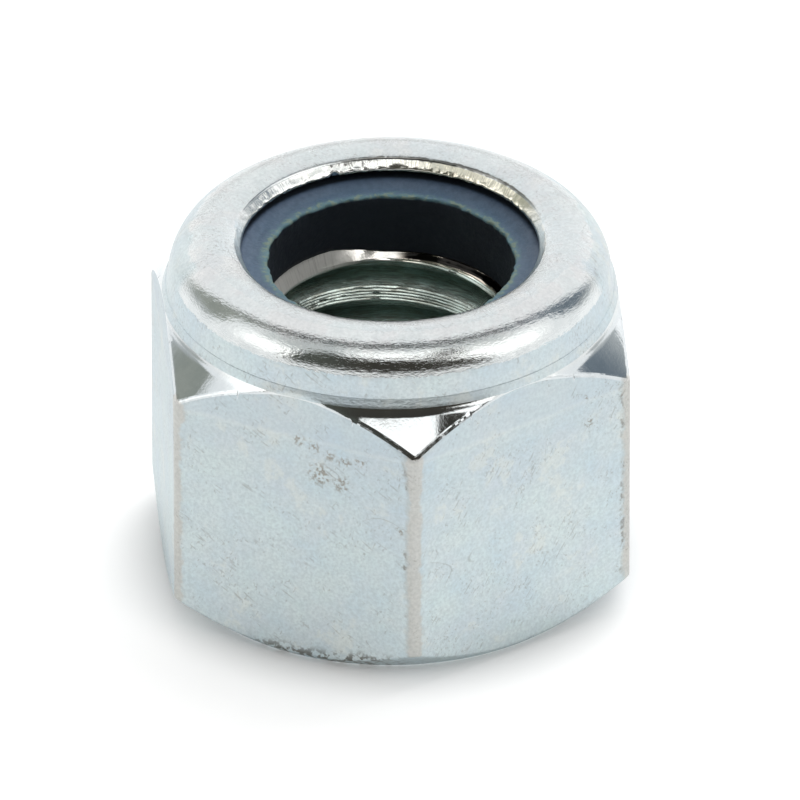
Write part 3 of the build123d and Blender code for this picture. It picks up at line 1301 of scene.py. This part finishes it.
def light_tent():
    """World light: a pale dome with a dark camera opening and a dark seam."""
    world = bpy.data.worlds.new("light_tent")
    bpy.context.scene.world = world
    world.use_nodes = True
    tree = world.node_tree
    tree.nodes.clear()
    ray_dir = out(node(tree, "TexCoord"), "Generated")
    heading = {"Vector": ray_dir, "Rotation": (0, 0, math.radians(-CAMERA_TURN))}
    turned = out(node(tree, "Mapping", heading))
    way = outs(node(tree, "SeparateXYZ", {0: turned}))
    right, back, up = way["X"], way["Y"], way["Z"]
    aside = abs(right)

    # the opening for the camera: the height of its upper edge goes by direction
    ahead = calc("ARCTAN2", right, back * -1.0)
    sweep = node(tree, "FloatCurve", {"Value": ahead / math.pi + 0.5})
    curve = sweep.mapping.curves[0]
    curve.points[1].location = (1.0, 0.0)
    for side, top in OPENING_TOP:
        curve.points.new((side + 90) / 180, top / 90)
    sweep.mapping.update()
    frayed = noise_at(tree, turned, 26.0, 3.0) - 0.5
    rise = calc("ARCSINE", up)
    over = rise + frayed * 0.06 - out(sweep) * (math.pi / 2)
    opening = ramp(up, 0.14, 0.18) * ramp(over, 0.012, -0.012)
    patch_side = abs(ahead + frayed * 0.12 - PATCH_TURN)
    patch = ramp(patch_side, 0.21, 0.15) * ramp(abs(rise - PATCH_RISE), 0.15, 0.11)
    opening = larger(opening, patch)

    # the seam: a gap overhead that bends back and widens down both sides
    square = aside * aside
    cubed = square * aside
    middle = calc("MINIMUM", square * 0.75 + -0.11, 0.35) + larger(0.42 - up, 0.0) * 0.6
    widening = out(node(tree, "Mix", {0: ramp(right, -0.2, 0.2), 2: 0.22, 3: 0.1}))
    half = cubed * widening + 0.107
    seam = ramp(abs(back - middle) / half, 1.1, 0.85) * ramp(up, 0.04, 0.12)

    # the cloth: brighter high at the front, dimmer round the seam, with one lit panel at the back
    front_top = ramp(back, 0.0, -0.2)
    high = ramp(up, 0.0, 0.35)
    front_cloth = mix(high, (0.95, 0.95, 0.95), (1.75, 1.72, 1.68))
    front_cloth = mix(ramp(up, 0.84, 0.93), front_cloth, (1.14, 1.14, 1.14))
    near_seam = ramp(back, -0.5, -0.22) * ramp(up, 0.55, 0.75)
    left_dim = ramp(right, -0.12, -0.38) * ramp(up, 0.5, 0.65)
    dim = larger(near_seam, left_dim)
    front_cloth = mix(dim, front_cloth, (0.68, 0.7, 0.69))
    lit_panel = ramp(back, 0.5, 0.7) * ramp(up, 0.5, 0.36)
    back_cloth = mix(lit_panel, (1.15, 1.15, 1.15), (1.46, 1.44, 1.43))
    cloth = mix(front_top, back_cloth, front_cloth)
    inside = mix(ramp(right, -0.2, -0.5), (0.058, 0.054, 0.046), (0.094, 0.1, 0.086))
    tent = mix(opening, cloth, inside)

    # what shows through the seam: dark overhead and paler down both sides
    side_gap = mix(ramp(right, -0.3, 0.3), (0.38, 0.4, 0.36), (0.2, 0.24, 0.28))
    side_gap = mix(ramp(up, 0.34, 0.12), side_gap, (0.6, 0.62, 0.62))
    gap = mix(ramp(aside, 0.4, 0.75), (0.05, 0.05, 0.05), side_gap)
    tent = mix(seam, tent, gap)

    # the tent is dimmer as a lamp than as a reflection, and the camera sees plain white behind it
    ray = outs(node(tree, "LightPath"))
    tent = mix(ray["Is Diffuse Ray"], tent, mix(0.4, tent, (0.0, 0.0, 0.0)))
    shown = mix(ray["Is Camera Ray"], tent, (1.0, 1.0, 1.0))
    light = node(tree, "Background", {"Color": shown, "Strength": 1.0})
    feed(node(tree, "OutputWorld"), {"Surface": out(light)})
    print("the tent has", len(tree.nodes), "nodes")


light_tent()

# %% [markdown]
# One large lamp, to the right and behind, gives the shadow its direction.  Reflections don't show
# it.


# %% The lamp over the table
def key_lamp(place, size, power):
    """Square lamp aimed at the nut, in metres and watts."""
    data = bpy.data.lights.new("key_lamp", "AREA")
    data.shape, data.size, data.energy = "SQUARE", size, power
    lamp = bpy.data.objects.new("key_lamp", data)
    lamp.location = place
    lamp.rotation_mode = "QUATERNION"
    lamp.rotation_quaternion = Vector(place).to_track_quat("Z", "Y")
    lamp.visible_glossy = False
    bpy.context.scene.collection.objects.link(lamp)
    print("the lamp gives", power, "W")


key_lamp((0.15, 0.18, 0.30), 0.34, 0.66)

# %% [markdown]
# ## The camera
#
# A long lens from well back keeps the upright edges parallel, as a product photographer would.

# %% The camera
SENSOR = 36.0
FRAME_WIDTH = 17.354
DISTANCE = 600.0
AIM = Vector((0.216, -0.021, 3.807))


def long_lens():
    """Camera on its line of sight, aimed at a point on the nut."""
    turn, rise = math.radians(CAMERA_TURN), math.radians(CAMERA_RISE)
    level = math.cos(rise)
    back = Vector((math.sin(turn) * level, -math.cos(turn) * level, math.sin(rise)))
    data = bpy.data.cameras.new("camera")
    data.sensor_width = SENSOR
    data.lens = SENSOR * DISTANCE / FRAME_WIDTH
    camera = bpy.data.objects.new("camera", data)
    camera.location = (AIM + back * DISTANCE) * MM
    camera.rotation_mode = "QUATERNION"
    camera.rotation_quaternion = (-back).to_track_quat("-Z", "Y")
    data.clip_start, data.clip_end = 0.01, 10.0
    bpy.context.scene.collection.objects.link(camera)
    bpy.context.scene.camera = camera
    print("lens", round(data.lens, 1), "mm at", DISTANCE, "mm")


long_lens()
bpy.context.scene.view_settings.view_transform = "Standard"

# %% Update the scene
bpy.context.view_layer.update()
